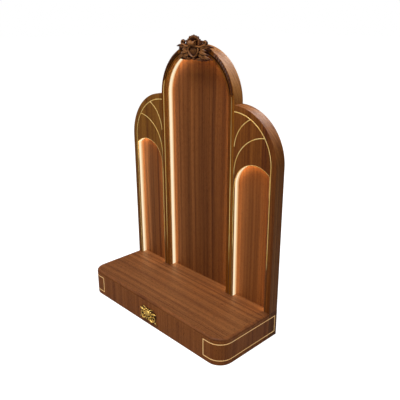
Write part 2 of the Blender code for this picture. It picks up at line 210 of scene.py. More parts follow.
def setAttribute(mesh, name, values, domain="CORNER"):
    # a named number or vector for each face corner or point, which the materials read
    kind, key = ("FLOAT_VECTOR", "vector") if values.ndim > 1 else ("FLOAT", "value")
    layer = mesh.attributes.new(name, kind, domain)
    layer.data.foreach_set(key, values.astype(np.float32).ravel())


def setFinish(piece, corners, number):
    # the faces that own the chosen corners get the material with this number
    faces = cornerData(piece.data)[2][corners]
    numbers = allOf(piece.data.polygons, "material_index", kind=np.int32)
    numbers[faces] = number
    piece.data.polygons.foreach_set("material_index", numbers)


# Materials


def linear(hexColour):
    # sRGB hex to linear light: a straight stretch near black, and a power of 2.4 above it
    parts = [int(hexColour[i:i + 2], 16) / 255 for i in (1, 3, 5)]
    return (*[c / 12.92 if c <= 0.04045 else ((c + 0.055) / 1.055) ** 2.4 for c in parts], 1.0)


def setInputs(node, inputs):
    # each input, by name or number, gets a value, or a link from another node's output
    for key, value in inputs.items():
        if isinstance(value, bpy.types.NodeSocket):
            node.id_data.links.new(value, node.inputs[key])
        else:
            node.inputs[key].default_value = value


def setStops(elements, stops):
    # a ramp's places, each with an sRGB colour or a grey from 0 to 1
    while len(elements) < len(stops):
        elements.new(0.5)
    for element, (place, colour) in zip(elements, stops):
        element.position = place
        element.color = linear(colour) if isinstance(colour, str) else (colour, colour, colour, 1.0)


def addNode(tree, kind, inputs=None, output=0, **settings):
    # one node with its inputs and settings, of which it gives back one output
    node = tree.nodes.new("ShaderNode" + kind)
    for key, value in settings.items():
        if key == "stops":
            setStops(node.color_ramp.elements, value)
        else:
            setattr(node, key, value)
    setInputs(node, inputs or {})
    return node.outputs[output]


def newMaterial(name, look):
    # a Principled material with its even values on the shader's own sockets
    material = bpy.data.materials.new(name)
    material.use_nodes = True
    shader = material.node_tree.nodes["Principled BSDF"]
    setInputs(shader, look)
    return material, material.node_tree, shader


def finishShader(shader, colour, rough, height, strength, depth):
    # colour and roughness are outputs of nodes, and height makes a bump, its depth in millimetres
    relief = {"Strength": strength, "Distance": depth * mm, "Height": height}
    normal = addNode(shader.id_data, "Bump", relief)
    setInputs(shader, {"Base Color": colour, "Roughness": rough, "Normal": normal})


def noiseOf(tree, place, sizes, detail=2.0, roughness=0.55):
    # noise whose spots are about sizes millimetres across, deep and long
    place = addNode(tree, "VectorMath", {0: place, 1: [1.0 / size for size in sizes]}, operation="MULTIPLY")
    look = {"Vector": place, "Scale": 1.0, "Detail": detail, "Roughness": roughness}
    return addNode(tree, "TexNoise", look)


def objectPlace(tree):
    # object coordinates in millimetres
    place = addNode(tree, "TexCoord", output="Object")
    return addNode(tree, "VectorMath", {0: place, "Scale": 1 / mm}, operation="SCALE")


def walnutVeneer(name, colours, figure=(0.5, 0.34, 0.16), rough=0.5, polish=0.25, arch=0.0, paintedShade=None):
    # Sliced American walnut under a matt lacquer. The eye gets straight brown bands 10-30 mm wide, finer
    # streaks, hair-thin fibres, and short dark pores that dull the sheen. Grain is the wood's own place in
    # millimetres: across, into and along it. Figure is how much bands, streaks and fibres count, and arch the
    # width of a crown-cut leaf's arches. The last argument gives two heights between which painted shade
    # darkens the colour upwards, and how much of the colour it leaves.
    material, tree, shader = newMaterial(name, {"IOR": 1.5, "Specular IOR Level": polish})
    grain = addNode(tree, "Attribute", output="Vector", attribute_name="grain")
    drift = noiseOf(tree, grain, (70, 70, 520), 1.0)  # slow waver of the lines, a few millimetres
    shift = addNode(tree, "MapRange", {"Value": drift, "To Min": -9.0, "To Max": 9.0})
    if arch:
        # the bands close into long arches: across squared over the width, plus a share of the way along
        across = addNode(tree, "SeparateXYZ", {0: grain}, 0)
        along = addNode(tree, "SeparateXYZ", {0: grain}, 2)
        square = addNode(tree, "Math", {0: across, 1: across}, operation="MULTIPLY")
        reach = addNode(tree, "Math", {0: along, 1: 0.07}, operation="MULTIPLY")
        bow = addNode(tree, "Math", {0: square, 1: 1.0 / arch, 2: reach}, operation="MULTIPLY_ADD")
        shift = addNode(tree, "Math", {0: bow, 1: shift}, operation="ADD")
    move = addNode(tree, "CombineXYZ", {"X": shift})
    lines = addNode(tree, "VectorMath", {0: grain, 1: move}, operation="ADD")
    bands = noiseOf(tree, lines, (17, 60, 2600), 2.0, 0.6)
    streaks = noiseOf(tree, lines, (4.2, 30, 900), 3.0, 0.6)
    fibres = noiseOf(tree, lines, (1.1, 3, 90), 2.0, 0.6)  # real fibres are finer; drawn so that they show
    pores = noiseOf(tree, grain, (0.45, 0.8, 7.5), 1.0)
    tone = 0.0
    for part, share in zip((bands, streaks, fibres), figure):
        tone = addNode(tree, "Math", {0: part, 1: share, 2: tone}, operation="MULTIPLY_ADD")
    least, most = 0.36, 0.64  # where the tone's spread ends
    stops = list(zip((least, 0.5, most), colours.split()))
    colour = addNode(tree, "ValToRGB", {"Fac": tone}, stops=stops)
    pits = addNode(tree, "ValToRGB", {"Fac": pores}, stops=[(0.60, 0.0), (0.70, 1.0)])
    colour = addNode(tree, "Mix", {0: pits, 6: colour, 7: linear("#8a7468")}, 2, data_type="RGBA",
                     blend_type="MULTIPLY")
    # painted shade: between the two heights the colour darkens upwards
    if paintedShade:
        low, high, left = paintedShade
        level = addNode(tree, "SeparateXYZ", {0: objectPlace(tree)}, 2)
        level = addNode(tree, "MapRange",
                        {"Value": level, "From Min": low, "From Max": high, "To Min": 1.0, "To Max": left})
        colour = addNode(tree, "VectorMath", {0: colour, "Scale": level}, operation="SCALE")
    sheen = addNode(tree, "MapRange", {"Value": tone, "From Min": least, "From Max": most,
                                       "To Min": rough + 0.06, "To Max": rough - 0.04})
    sheen = addNode(tree, "Math", {0: pits, 1: 0.12, 2: sheen}, operation="MULTIPLY_ADD")
    height = addNode(tree, "Math", {0: fibres, 1: pits}, operation="SUBTRACT")
    finishShader(shader, colour, sheen, height, 0.25, 0.06)
    return material


def carvedWalnut(name):
    # Solid walnut, carved, with a dark stain, and waxed. The hollows are darker, partly dark wax and partly
    # painted shade, and the high parts lighter tan, partly rubbed wear and partly painted highlight.
    # Relief is 0 in the hollows and 1 on what stands out.
    material, tree, shader = newMaterial(name, {"IOR": 1.5, "Specular IOR Level": 0.2})
    place = objectPlace(tree)
    relief = addNode(tree, "Attribute", output="Fac", attribute_name="relief")
    fibres = noiseOf(tree, place, (1.4, 1.4, 26), 3.0)
    cloud = noiseOf(tree, place, (7, 7, 12), 2.0)
    wood = addNode(tree, "ValToRGB", {"Fac": fibres}, stops=[(0.35, "#3c1d08"), (0.65, "#582e10")])
    wash = addNode(tree, "ValToRGB", {"Fac": cloud}, stops=[(0.35, 0.78), (0.65, 1.0)])
    multiply = {"data_type": "RGBA", "blend_type": "MULTIPLY"}
    wood = addNode(tree, "Mix", {0: 1.0, 6: wood, 7: wash}, 2, **multiply)
    # painted shade: low relief is darkened, partly dark wax in the hollows
    hollow = addNode(tree, "Mix", {0: 1.0, 6: wood, 7: linear("#c08c60")}, 2, **multiply)
    colour = addNode(tree, "Mix", {0: relief, 6: hollow, 7: wood}, 2, data_type="RGBA")
    # painted highlight: high relief turns light tan, partly rubbed wear
    wearAndHighlight = addNode(tree, "ValToRGB", {"Fac": relief}, stops=[(0.75, 0.0), (1.0, 0.34)])
    colour = addNode(tree, "Mix", {0: wearAndHighlight, 6: colour, 7: linear("#a8703c")}, 2, data_type="RGBA")
    rough = addNode(tree, "MapRange", {"Value": cloud, "To Min": 0.38, "To Max": 0.5})
    finishShader(shader, colour, rough, fibres, 0.3, 0.1)
    return material


def brass(name, shine=None, pale="#ffe094", deep="#f0bd5a", mirror=0.3, glint=0.0):
    # Rolled brass strip, brushed lengthways, under milky lacquer that dulls its mirror. Shine lists, at
    # heights in millimetres, how much of the brass colour shows, from 0, painted brown as painted shade on
    # the metal, as at the foot of the panel, to 1, plain brass. Glint stands for the white room that polished
    # strip mirrors, which the surround here doesn't give.
    material, tree, shader = newMaterial(name, {"Metallic": mirror, "Emission Strength": glint,
                                                "Emission Color": linear("#ffc676")})
    place = objectPlace(tree)
    cloud = noiseOf(tree, place, (14, 14, 40), 3.0)
    brushed = noiseOf(tree, place, (0.5, 0.5, 9), 2.0)
    colour = addNode(tree, "ValToRGB", {"Fac": cloud}, stops=[(0.3, deep), (0.7, pale)])
    # painted shade: below the listed shine the colour turns brown
    if shine:
        top = shine[-1][0]
        stops = [(height / top, amount) for height, amount in shine]
        level = addNode(tree, "SeparateXYZ", {0: place}, 2)
        level = addNode(tree, "Math", {0: cloud, 1: 24.0, 2: level}, operation="MULTIPLY_ADD")
        level = addNode(tree, "Math", {0: level, 1: top}, operation="DIVIDE")
        unshaded = addNode(tree, "ValToRGB", {"Fac": level}, stops=stops)
        colour = addNode(tree, "Mix", {0: unshaded, 6: linear("#6a4022"), 7: colour}, 2, data_type="RGBA")
    rough = addNode(tree, "MapRange", {"Value": brushed, "To Min": 0.38, "To Max": 0.52})
    finishShader(shader, colour, rough, brushed, 0.15, 0.03)
    return material


def gilding(name):
    # Cast ornament with burnished gold leaf. The high parts are bright leaf, and the low parts go dark brown,
    # partly a brown wash in the hollows and partly painted shade; on the thin plates under it that dark is
    # painted shadow.
    # The leaf lies over a yellow ground and is worn thin in places, so it isn't all metal.
    material, tree, shader = newMaterial(name, {"Metallic": 0.65})
    place = objectPlace(tree)
    relief = addNode(tree, "Attribute", output="Fac", attribute_name="relief")
    cloud = noiseOf(tree, place, (5, 5, 5), 3.0)
    grit = noiseOf(tree, place, (0.8, 0.8, 0.8), 2.0)
    leaf = addNode(tree, "ValToRGB", {"Fac": cloud}, stops=[(0.3, "#e4ab38"), (0.7, "#ffda80")])
    # painted shade: low relief goes dark brown, partly a brown wash
    colour = addNode(tree, "Mix", {0: relief, 6: linear("#4a2404"), 7: leaf}, 2, data_type="RGBA")
    rough = addNode(tree, "MapRange", {"Value": cloud, "To Min": 0.34, "To Max": 0.5})
    finishShader(shader, colour, rough, grit, 0.2, 0.06)
    return material


opal = {"seen": "#ffeecb", "seenPower": 0.97, "cast": "#ffdca4", "frontShare": 1.2, "rearShare": 0.95}


def lightBand(name, strength, fade):
    # Opal acrylic cover over a row of warm white lamps: an even cream glow with a faint swell at each lamp,
    # orange and dimmer along its two edges. Spread runs from 0 at the front edge to 1 at the rear, and gain
    # is how much light a stretch gives against the left-hand one. A camera sees the band paler and dimmer
    # than the light that it gives, which falls off a little towards the rear.
    material, tree, shader = newMaterial(name, {"Base Color": linear("#4c3c28"), "Roughness": 0.5,
                                                "Specular IOR Level": 0.1})
    spread = addNode(tree, "Attribute", output="Fac", attribute_name="spread")
    gain = addNode(tree, "Attribute", output="Fac", attribute_name="gain")
    byCamera = addNode(tree, "LightPath", output="Is Camera Ray")
    lamps = noiseOf(tree, objectPlace(tree), (9, 9, 9), 1.0)
    ripple = addNode(tree, "MapRange", {"Value": lamps, "To Min": 0.96, "To Max": 1.04})
    stops = [(0.0, "#9a6a3c"), (0.14, opal["seen"]), (fade, opal["seen"]), (fade + 0.18, "#ecc394"),
             (1.0, "#c08a54")]
    face = addNode(tree, "ValToRGB", {"Fac": spread}, stops=stops)
    colour = addNode(tree, "Mix", {0: byCamera, 6: linear(opal["cast"]), 7: face}, 2, data_type="RGBA")
    given = addNode(tree, "MapRange", {"Value": spread, "To Min": opal["frontShare"] * strength,
                                       "To Max": opal["rearShare"] * strength})
    given = addNode(tree, "Math", {0: given, 1: gain}, operation="MULTIPLY")
    power = addNode(tree, "Mix", {0: byCamera, 2: given, 3: opal["seenPower"]}, data_type="FLOAT")
    power = addNode(tree, "Math", {0: ripple, 1: power}, operation="MULTIPLY")
    setInputs(shader, {"Emission Color": colour, "Emission Strength": power})
    return material


boardFigure, edgeFigure = (0.42, 0.34, 0.24), (0.3, 0.45, 0.25)
rightWood = walnutVeneer("walnut veneer right wing", "#491c0b #6a3810 #854d1d", boardFigure, polish=0.15)
# the left wing's veneer is a lighter copy of the right one's: painted light on its front
litLeftWood = walnutVeneer("walnut veneer left wing painted lit", "#582f12 #794c1a #906028", boardFigure, polish=0.15)
# the bay's front: a lighter copy, painted light as from the light bands' glow, with painted shade darkening
# it towards the crest between 640 and 730 mm
bayWoodPaintedLight = walnutVeneer("walnut veneer bay front painted light and shade", "#582808 #7c460f #955b19", boardFigure, polish=0.12,
                       paintedShade=(640.0, 730.0, 0.72))
rearWood = walnutVeneer("walnut veneer rear", "#4f2a13 #6b4020 #80502b", boardFigure, 0.55, 0.15)
nicheWood = walnutVeneer("walnut veneer niche back", "#492512 #6d3e1c #865028", (0.55, 0.3, 0.15), 0.6, 0.1)
# lit and shaded copies of one edge banding: the bay's painted lighter, the wings' painted darker for their
# shaded outer side
litBayEdgeWood = walnutVeneer("walnut edge banding", "#673a14 #8c5928 #ac763d", edgeFigure, 0.42, 0.18)
shadedWingEdgeWood = walnutVeneer("walnut edge banding wings painted shaded", "#592e0e #79471d #955e2c", edgeFigure, 0.42, 0.15)
# the bay reveals' lighter copy of the veneer: painted light on the faces beside the light band
litRevealWood = walnutVeneer("walnut veneer reveal painted lit", "#7a4a20 #9c6b35 #b37e44")
# the shelf's top is darker and its sides lighter than the panel's wood: partly their own veneers, partly
# painted shade on the top and painted light on the sides
topWood = walnutVeneer("walnut veneer shelf top", "#522910 #683b1a #7a4722", (0.3, 0.42, 0.28), 0.5, 0.15,
                       arch=260.0)
sideWood = walnutVeneer("walnut veneer shelf sides", "#73390f #8a4d1b #9b5924", (0.6, 0.28, 0.12))
# near-black walnut for the groove beside the garlands: painted shadow
grooveShadowWood = walnutVeneer("walnut groove painted black as shadow", "#100602 #1c0b04 #2a1208", polish=0.1)
carvedWood = carvedWalnut("carved walnut")
gilt = gilding("gilding")

# how much brass colour shows at heights in millimetres; below 1 it is painted brown as painted shade, at
# the foot and just under the niches' arches
footShine = [(120, 0.28), (245, 0.4), (280, 1.0)]
brightBrass = brass("brass inlay")
nicheBrass = brass("brass inlay right niche", footShine + [(430, 0.9), (450, 0.1), (478, 0.1), (498, 1.0)])
leftNicheBrass = brass("brass inlay left niche", [(165, 0.1), (215, 1.0), (425, 1.0), (447, 0.25),
                                                  (480, 0.25), (500, 1.0)])
rightOuterBrass = brass("brass inlay right wing", [(225, 0.0), (262, 1.0)])
wingBrass = {"left": {"Outer": brightBrass, "Upper": brightBrass, "Lower": leftNicheBrass},
             "right": {"Outer": rightOuterBrass, "Upper": nicheBrass, "Lower": nicheBrass}}
bayBrass = {"left": brass("brass inlay bay left", [(140, 0.0), (230, 1.0)]),
            "right": brass("brass inlay bay right", [(190, 0.0), (265, 1.0), (440, 1.0), (510, 0.6),
                                                     (640, 0.3)])}
bayLip = brass("brass lip bay", footShine)
wingLip = brass("brass lip wings", [(430, 0.1), (450, 1.0)])
# the base's strips: pale colour, little mirror and a glow, together a painted reflection of a white room
baseBrass = brass("brass inlay base", pale="#ffd99c", deep="#ffc87e", mirror=0.06, glint=0.24)
bayGlow = lightBand("opal light band bay", 4.55, 0.6)
wingGlow = lightBand("opal light band wings", 4.0, 0.46)
print("stage: materials made")


# Back panel

bay = {"half": bayHalf, "spring": 658.0, "niche": 130.0, "facing": 96.1, "rebate": 1.8, "floor": 113.9}
bayLine = {"radius": 140.5, "rightTop": 8.0, "leftTop": 17.0}  # the stiles' lines, up to these angles
bayGroove = {"radius": 137.6, "wider": 0.5, "from": 11.0, "to": 160.0, "gap": 2.0}  # beside the garlands
# circles are (x, z, radius)
wing = {"inner": wingInner, "outer": wingOuter, "shoulder": (150.0, 508.0, 150.0), "nicheInner": 155.0,
        "nicheOuter": 281.0, "arch": (229.0, 433.0, 74.0), "floor": 103.9}
# the outer line's radius, the circles of the other two, and how far these lie lower where they meet it
wingLine = {"outer": 132.4, "clear": 0.9, "Upper": (252.6, 537.0, 100.0), "Lower": (267.1, 471.0, 113.5),
            "drop": 0.03}
niche = {"lip": 0.5, "pocket": 2.0, "leaf": 1.9, "gap": 0.1}  # a thin leaf lies in the pocket behind
# each light's start behind the frame's face, the depth of its lip, and its sides to the left of the path
bayLight = {"start": 0.3, "lip": 1.2, "outer": -1.5, "inner": 0.0}
wingLight = {"start": 0.05, "lip": 1.95, "outer": 0.3, "inner": 1.8}
lightGain = {"crown": 1.5, "right": 0.9}  # how much more light than the left-hand band gives


def grainOfPanel(piece, circles, rear=None, reveal=None):
    # Flat faces have upright grain. On edges and reveals it follows the run up the side and round the arch,
    # where the veneer was laid a little askew. A corner belongs to the circle whose run it lies nearest to.
    # Edges get the second material, the back the one numbered rear, and the circle numbered reveal the third,
    # which is a lighter copy painted as lit.
    point, normal, _ = cornerData(piece.data)
    x, y, z = np.abs(point[:, 0]), point[:, 1], point[:, 2]
    centreX, centreZ, radius = np.array(circles, float).T[:, :, None]
    up = np.maximum(z - centreZ, 0.0)
    way = radius * np.arctan2(up, np.abs(x - centreX))
    nearest = np.abs(np.hypot(x - centreX, up) - radius).argmin(axis=0)
    own = nearest, np.arange(len(z))
    flat = np.abs(normal[:, 1]) > 0.5
    across = np.where(flat, point[:, 0], y + 0.2 * way[own])
    along = np.where(flat, z, (np.minimum(z, centreZ) + way)[own])
    setAttribute(piece.data, "grain", np.column_stack([across, np.where(flat, y, x), along]))
    setFinish(piece, ~flat, 1)
    if rear is not None:
        setFinish(piece, flat & (y > panel["back"] - 0.1), rear)
    if reveal is not None:
        setFinish(piece, ~flat & (nearest == reveal), 2)


def archPath(x, z, radius, outer, inner, steps):
    # anticlockwise from the outer foot up to a circle, along it, and down to the inner foot
    start, end = (math.degrees(math.acos((place - x) / radius)) for place in (outer, inner))
    foot = panel["foot"]
    return np.concatenate([[[outer, foot]], arcPoints(x, z, radius, start, end, steps), [[inner, foot]]])


def boardLevels():
    # (inset, y) from the front to the back, with a small arris at both ends
    arris, front, back = panel["arris"], panel["front"], panel["back"]
    return [(arris, front), (0.0, front + arris), (0.0, back - arris), (arris, back)]


def nicheCutter(path, steps):
    # The niche's hollow is its path, closed below the foot, carried through levels of (inset, y). The frame
    # keeps a thin lip round the front edge.
    lip, front, low = niche["lip"], panel["front"], panel["foot"] - 9.0
    outline = np.concatenate([path, [[path[-1, 0], low], [path[0, 0], low]]])
    return slab(outline, [(lip, front - 3.0), (lip, front), (0.0, front + lip), *steps])


def makeNicheBack(name, path, inset, floor, node, edgeWood, arch):
    # the leaf of veneered board that closes a niche, its path inset and carried through its thickness
    body = slab(offsetPath(path, inset), [(0.0, floor), (0.0, floor + niche["leaf"])])
    leaf = makePiece(name, *body, node, "niche_wood", [nicheWood, edgeWood])
    grainOfPanel(leaf, [arch])


def makeLine(name, node, path, drop, material):
    # A brass strip with eased front edges is swept along the path. Its front lies drop millimetres lower
    # where it would meet another strip.
    half, ease = line["width"] / 2, line["ease"]
    front, back = panel["front"] - line["proud"], panel["front"] + line["depth"]
    profile = [(half, back), (half, front + ease), (half - ease, front), (ease - half, front),
               (-half, front + ease), (-half, back)]
    points, faces = sweep(path, profile)
    makePiece(name, points + (0.0, drop, 0.0), faces, node, "brass_line", [material])


def grooveOf(path, gap=line["gap"]):
    # A strip's groove is a box swept along its path, wider by the gap on both sides. Each end runs on by 0.4
    # of its last step, which takes it out through the foot.
    half = line["width"] / 2 + gap
    front, back = panel["front"] - line["proud"] - 2.0, panel["front"] + line["depth"] + 0.2
    ends = [path[0] + 0.4 * (path[0] - path[1]), path[-1] + 0.4 * (path[-1] - path[-2])]
    run = np.concatenate([[ends[0]], path, [ends[1]]])
    return sweep(run, [(half, front), (half, back), (-half, back), (-half, front)])


def makeLight(name, path, node, materials, face, floor, light, arch):
    # A strip that lines a niche between two distances from its path. A brass lip hides the lamps from the
    # front, and behind it the inner side is the glowing cover. Gain rises with the height in the arch, and
    # below that it is higher on the right.
    front, back, ease = face + light["start"], floor - niche["gap"], 0.3
    outer, inner, rear = light["outer"], light["inner"], front + light["lip"]
    profile = [(outer, front), (inner - ease, front), (inner, front + ease), (inner, rear),
               (inner, back), (outer, back)]
    piece = makePiece(name, *sweep(path, profile), node, "light_band", materials)
    x, y, z = cornerData(piece.data)[0].T
    setFinish(piece, y < rear - 0.05, 1)
    setAttribute(piece.data, "spread", np.clip((y - rear) / (back - rear), 0, 1))
    middle, spring, radius = arch
    crown = np.clip((z - spring) / radius, 0, 1)
    gain = 1 + lightGain["crown"] * crown + lightGain["right"] * (1 - crown) * (x > middle)
    setAttribute(piece.data, "gain", gain)


def makeBay():
    # the tall middle frame, its board and light, and the lines on its stiles, which bend in with the arch
    spring, half, floor, rebate = bay["spring"], bay["half"], bay["floor"], bay["rebate"]
    outside, inside = (0, spring, half), (0, spring, bay["niche"])
    outline = archPath(*outside, half, -half, 120)
    nichePath = archPath(*inside, bay["niche"], -bay["niche"], 120)
    steps = [(0.0, bay["facing"]), (-rebate, bay["facing"]), (-rebate, floor + niche["pocket"])]
    paths = {}
    for label in ("right", "left"):
        curve = arcPoints(0, spring, bayLine["radius"], bayLine[label + "Top"], 0, 10)
        paths[label] = np.concatenate([curve, [[bayLine["radius"], panel["foot"] + line["lift"]]]])
    paths["left"] = mirrorX(paths["left"])
    cutters = [nicheCutter(nichePath, steps), *[grooveOf(path) for path in paths.values()]]
    for start, end in ((bayGroove["from"], 90 - bayGroove["gap"]), (90 + bayGroove["gap"], bayGroove["to"])):
        path = arcPoints(0, spring, bayGroove["radius"], start, end, 60)
        cutters.append(grooveOf(path, bayGroove["wider"]))
    body = makePiece("bayFrame", *slab(outline, boardLevels()), "centre_frame", "frame_wood",
                     [bayWoodPaintedLight, litBayEdgeWood, litRevealWood, grooveShadowWood, rearWood], cutters)
    grainOfPanel(body, [outside, inside], rear=4, reveal=1)
    x, y, z = cornerData(body.data)[0].T
    # the faces sunk in the groove beside the garlands, above the stiles' own lines, take the near-black
    # material: painted shadow of the garlands
    near = np.abs(np.hypot(x, z - spring) - bayGroove["radius"]) < 2.0
    sunk = (y > panel["front"] + 0.4) & (y < panel["front"] + 3.0)
    setFinish(body, near & sunk & (z > spring + 10.0), 3)
    for label, path in paths.items():
        makeLine(label + "BayLine", label + "_bay_line", path, 0.0, bayBrass[label])
    makeNicheBack("bayNicheBack", nichePath, niche["gap"] - rebate, floor, "centre_back", litBayEdgeWood,
                  outside)
    makeLight("bayLight", nichePath, "centre_light", [bayGlow, bayLip], bay["facing"], floor,
              bayLight, inside)


def meetAngle(x, z, radius, outer):
    # where a circle meets the outer line's, on the upper side, in degrees, by the law of cosines
    dx, dz = wing["shoulder"][0] - x, wing["shoulder"][1] - z
    apart = math.hypot(dx, dz)
    swing = math.acos((apart**2 + radius**2 - outer**2) / (2 * apart * radius))
    return math.degrees(math.atan2(dz, dx) - swing) % 360


def wingLines():
    # The three brass lines of the right wing, as (x, z) runs with their drop. The outer one follows the
    # shoulder, and the upper and the lower one start where they meet it.
    outer, foot, (middle, spring, _) = wingLine["outer"], panel["foot"] + line["lift"], wing["shoulder"]
    first = math.degrees(math.acos((wing["inner"] + wingLine["clear"] - middle) / outer))
    shoulder = arcPoints(middle, spring, outer, first, 0, 72)
    runs = {"Outer": (np.concatenate([shoulder, [[middle + outer, foot]]]), 0.0)}
    for label, end in (("Upper", 175), ("Lower", 180)):
        circle = wingLine[label]
        start = meetAngle(*circle, outer - line["width"] / 2 - 0.2)
        runs[label] = (arcPoints(*circle, start, end, 60), wingLine["drop"])
    run, drop = runs["Lower"]
    runs["Lower"] = (np.concatenate([run, [[run[-1, 0], foot]]]), drop)  # it runs on down the niche's side
    return runs


def makeWing(side, label):
    # a quarter-round side frame with its board, its light and its three lines; the left one is mirrored
    turned = (lambda path: path) if side > 0 else mirrorX
    nodes = {"Outer": "_outer_line", "Upper": "_upper_arc", "Lower": "_lower_arc"}
    shoulder, (archX, archZ, arch), floor = wing["shoulder"], wing["arch"], wing["floor"]
    lines = {key: (turned(path), drop) for key, (path, drop) in wingLines().items()}
    outline = turned(archPath(*shoulder, wing["outer"], wing["inner"], 72))
    nichePath = turned(archPath(*wing["arch"], wing["nicheOuter"], wing["nicheInner"], 80))
    cutters = [nicheCutter(nichePath, [(0.0, floor + niche["pocket"])])]
    cutters += [grooveOf(path) for path, _ in lines.values()]
    body = makePiece(label + "Wing", *slab(outline, boardLevels()), label + "_wing_frame", "frame_wood",
                     [rightWood if side > 0 else litLeftWood, shadedWingEdgeWood, rearWood], cutters)
    grainOfPanel(body, [shoulder, wing["arch"]], rear=2)
    for key, (path, drop) in lines.items():
        makeLine(f"{label}{key}Line", label + nodes[key], path, drop, wingBrass[label][key])
    makeNicheBack(label + "NicheBack", nichePath, niche["gap"], floor, label + "_wing_back", shadedWingEdgeWood,
                  shoulder)
    makeLight(label + "Light", nichePath, label + "_light", [wingGlow, wingLip], panel["front"], floor,
              wingLight, (side * archX, archZ, arch))


makeBay()
makeWing(-1, "left")
makeWing(1, "right")
print("stage: back panel made")


# Base

base = {"half": baseHalf, "front": baseFront, "height": baseTop, "corner": 44.0, "round": 7.0, "skin": 0.1,
        "ease": 0.6}
band = {"low": 14.8, "high": 65.4, "frontX": 235.2, "rearY": 112.9, "width": 2.8}  # to the strip's middle


def makeBase():
    # The outline seen from above, anticlockwise from the left end of the panel's front, is carried up through
    # levels of (inset, z): an eased foot and a quarter round at the top. Behind the panel's front the sides
    # and the rear stay upright.
    half, front, corner, height, bend = (base[key] for key in ("half", "front", "corner", "height", "round"))
    left = arcPoints(corner - half, front + corner, corner, 180, 270, 48)
    right = arcPoints(half - corner, front + corner, corner, -90, 0, 48)
    run = np.concatenate([[[-half, panel["front"]]], left, right, [[half, panel["front"]]]])
    levels = [(base["ease"], 0.0), (0.0, base["ease"]), (0.0, height - bend)]
    for turn in np.radians(np.linspace(9, 90, 10)):
        levels.append((bend * (1 - math.cos(turn)), height - bend * (1 - math.sin(turn))))
    levels.append((bend + 2.0, height))
    rings = []
    for inset, z in levels:
        outline = offsetPath(run, inset + base["skin"])
        outline[0, 1] = outline[-1, 1] = panel["front"]
        foot = inset if z < height / 2 else 0.0
        edge, seam = half - base["skin"] - foot, panel["front"] + 0.02
        rear = [[edge, seam], [edge, panel["back"] - foot], [-edge, panel["back"] - foot], [-edge, seam]]
        outline = np.concatenate([outline, rear])
        rings.append(np.column_stack([outline, np.full(len(outline), z)]))
    body = makePiece("shelfBlock", *capped(np.array(rings)), "base", "base_wood",
                     [sideWood, topWood, rearWood])
    point, normal, _ = cornerData(body.data)
    x, y, z = point.T
    # the rounded front edge goes with the top's darker copy: painted shade on the round-over
    top = normal[:, 2] > 0.12
    # round the sides the grain stands upright, and across it counts the way from the middle of the front
    flank, side = half - corner, front + corner
    turn = np.arctan2(np.maximum(np.abs(x) - flank, 0.0), np.maximum(side - y, 0.0))
    way = np.sign(x) * (np.minimum(np.abs(x), flank) + corner * turn + np.maximum(y - side, 0.0))
    grain = [np.where(top, y, way), np.where(top, z, y), np.where(top, x, z)]
    setAttribute(body.data, "grain", np.column_stack(grain))
    setFinish(body, top, 1)
    setFinish(body, y > panel["back"] - 0.1, 2)


def makeBand(side, label):
    # A flat brass ring let in round one front corner: each edge of its section runs along the block's outline
    # low down and back higher up, and the runs are joined as a closed tube.
    half, front, corner = base["half"], base["front"], base["corner"]
    curve = arcPoints(half - corner, front + corner, corner, -90, 0, 48)
    depth, ease = line["depth"], line["ease"]
    # (outer or inner border, depth below the face, ease towards the strip's middle)
    profile = [(-1, depth, 0), (-1, ease, 0), (-1, 0, ease), (1, 0, ease), (1, ease, 0), (1, depth, 0)]
    sides = []
    for border, inward, eased in profile:
        shift = border * (band["width"] / 2 - eased)
        path = np.concatenate([[[band["frontX"] + shift, front]], curve, [[half, band["rearY"] - shift]]])
        run = offsetPath(path, inward)
        lower = np.column_stack([run, np.full(len(run), band["low"] + shift)])
        upper = np.column_stack([run[::-1], np.full(len(run), band["high"] - shift)])
        sides.append(np.concatenate([lower, upper]))
    grid = np.array(sides) * (side, 1.0, 1.0)
    faces = gridFaces(len(profile), grid.shape[1], closedRows=True, closedColumns=True)
    makePiece(label + "BaseBand", grid.reshape(-1, 3), faces, label + "_base_band", "brass_line", [baseBrass])


makeBase()
makeBand(-1, "left")
makeBand(1, "right")
print("stage: base made")


# Carved work


def smoothRun(points, steps):
    # each stretch is a cubic between two points, with its slope at each from the points on both sides
    points = np.array(points, float)
    padded = np.concatenate([[2 * points[0] - points[1]], points, [2 * points[-1] - points[-2]]])
    place = np.linspace(0, len(points) - 1, steps)
    index = np.minimum(place.astype(int), len(points) - 2)
    t = (place - index)[:, None]
    a, b, c, d = (padded[index + shift] for shift in range(4))
    return 0.5 * (2 * b + (c - a) * t + (2 * a - 5 * b + 4 * c - d) * t**2 + (3 * b - a - 3 * c + d) * t**3)


def stem(points, halfWidth, rise, steps=40, taper=(0.25, 0.15), vein=0.0):
    # an oval bar along a curve, fullest a little before the middle; a vein hollows its upper side
    run = smoothRun(points, steps)
    ahead = np.gradient(run, axis=0)
    across = np.column_stack([-ahead[:, 1], ahead[:, 0], np.zeros(steps)])
    across /= np.linalg.norm(across, axis=1)[:, None]
    share = np.linspace(0, 1, steps)
    size = np.sin(math.pi * share**0.8) + taper[0] * (1 - share) ** 2 + taper[1] * share**2
    angle = roundTurn(20)
    high = np.sin(angle) - vein * np.exp(-((angle - 0.5 * math.pi) / 0.38) ** 2)
    grid = run[:, None, :] + (size[:, None] * halfWidth * np.cos(angle))[:, :, None] * across[:, None, :]
    grid[:, :, 2] += size[:, None] * rise * high
    return capped(grid)


